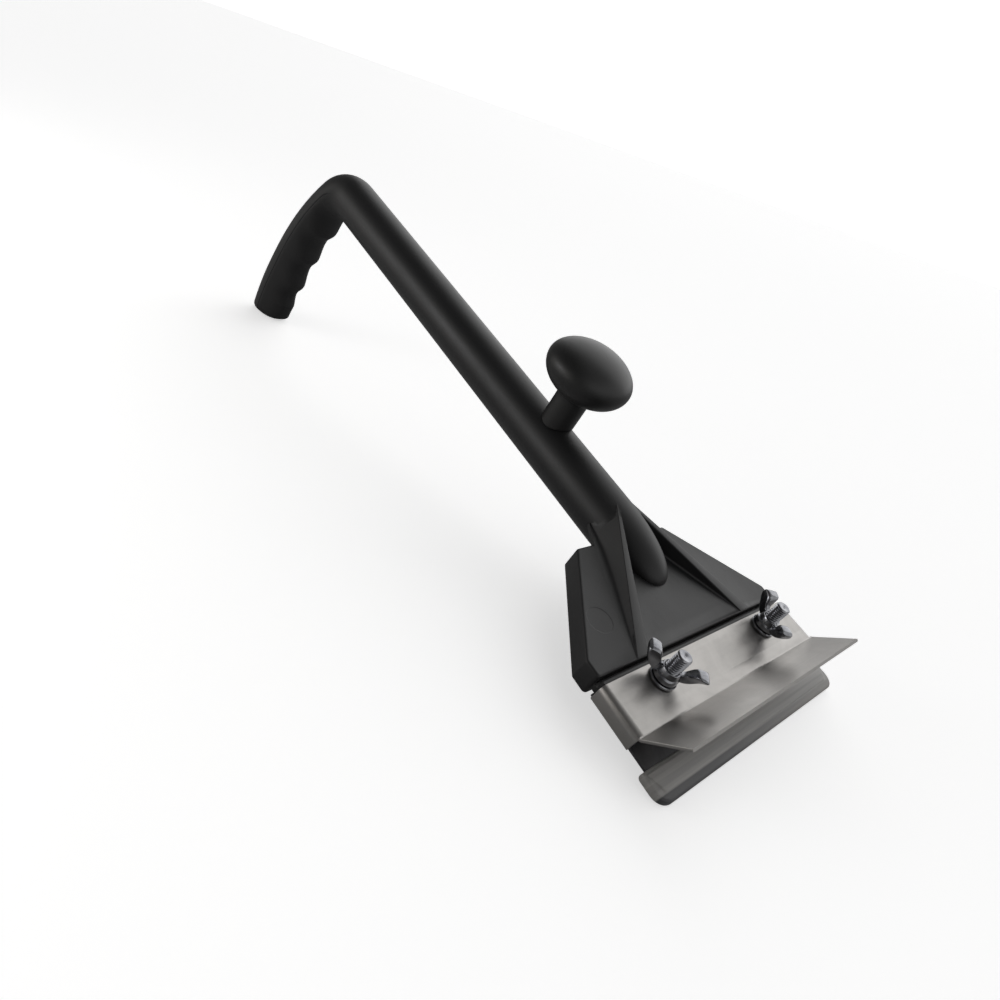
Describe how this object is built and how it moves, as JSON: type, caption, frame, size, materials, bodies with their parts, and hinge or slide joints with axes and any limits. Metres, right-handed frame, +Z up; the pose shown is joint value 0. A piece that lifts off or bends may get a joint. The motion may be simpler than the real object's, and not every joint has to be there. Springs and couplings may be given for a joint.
{
  "type": "two-handed floor scraper",
  "caption": "Two-handed floor scraper: moulded handle with a finger-grooved grip and a side knob, a wide clamped steel blade under a bent steel guard with wing nuts, and a slide-on blade cover.",
  "frame": {"origin": "centre of the footprint, on the floor that the tool stands on", "axes": "+Z up; the blade points along -Y and slightly down, the handle runs back along +Y; +X is to the right when looking along +Y"},
  "size_m": [0.1314, 0.4238, 0.1105],
  "materials": {
    "black_nylon": "black moulded glass-filled nylon, satin",
    "knob_plastic": "black moulded plastic, semi-gloss",
    "stainless": "cold-rolled stainless sheet, satin",
    "zinc": "bright zinc-plated steel",
    "blade_steel": "blued hardened strip steel",
    "brass": "turned brass",
    "smoke_vinyl": "smoke-grey translucent vinyl"
  },
  "bodies": {
    "tool": {"handle_moulding": "black_nylon", "side_knob": "knob_plastic", "side_knob_insert": "brass", "side_knob_washer": "zinc", "side_knob_bolt": "zinc", "clamp_bar": "blade_steel", "guard": "stainless", "clamp_bolt_left": "zinc", "clamp_bolt_right": "zinc"},
    "blade": {"blade": "blade_steel"},
    "blade_cover": {"blade_cover": "smoke_vinyl"},
    "washer_left": {"clamp_washer_left": "zinc"},
    "wing_nut_left": {"wing_nut_left": "zinc"},
    "washer_right": {"clamp_washer_right": "zinc"},
    "wing_nut_right": {"wing_nut_right": "zinc"}
  },
  "joints": [
    {"name": "blade_slide", "type": "slide", "parent": "tool", "child": "blade", "axis": [0, -0.9681, -0.2504], "range_m": [0, 0.02]},
    {"name": "cover_slide", "type": "slide", "parent": "blade", "child": "blade_cover", "axis": [0, -0.9681, -0.2504], "range_m": [0, 0.015]},
    {"name": "washer_left_lift", "type": "slide", "parent": "tool", "child": "washer_left", "axis": [0, -0.2504, 0.9681], "range_m": [0, 0.00401]},
    {"name": "wing_nut_left_turn", "type": "hinge", "parent": "washer_left", "child": "wing_nut_left", "pos_m": [-0.0374, -0.18146, 0.02039], "axis": [0, -0.2504, 0.9681], "range_deg": [0, 1440]},
    {"name": "washer_right_lift", "type": "slide", "parent": "tool", "child": "washer_right", "axis": [0, -0.2504, 0.9681], "range_m": [0, 0.00401]},
    {"name": "wing_nut_right_turn", "type": "hinge", "parent": "washer_right", "child": "wing_nut_right", "pos_m": [0.0374, -0.18146, 0.02039], "axis": [0, -0.2504, 0.9681], "range_deg": [0, 1440]}
  ],
  "couplings": [
    {"joint": "washer_left_lift", "follows": "wing_nut_left_turn", "m_per_rad": 0.00015915},
    {"joint": "washer_right_lift", "follows": "wing_nut_right_turn", "m_per_rad": 0.00015915}
  ]
}
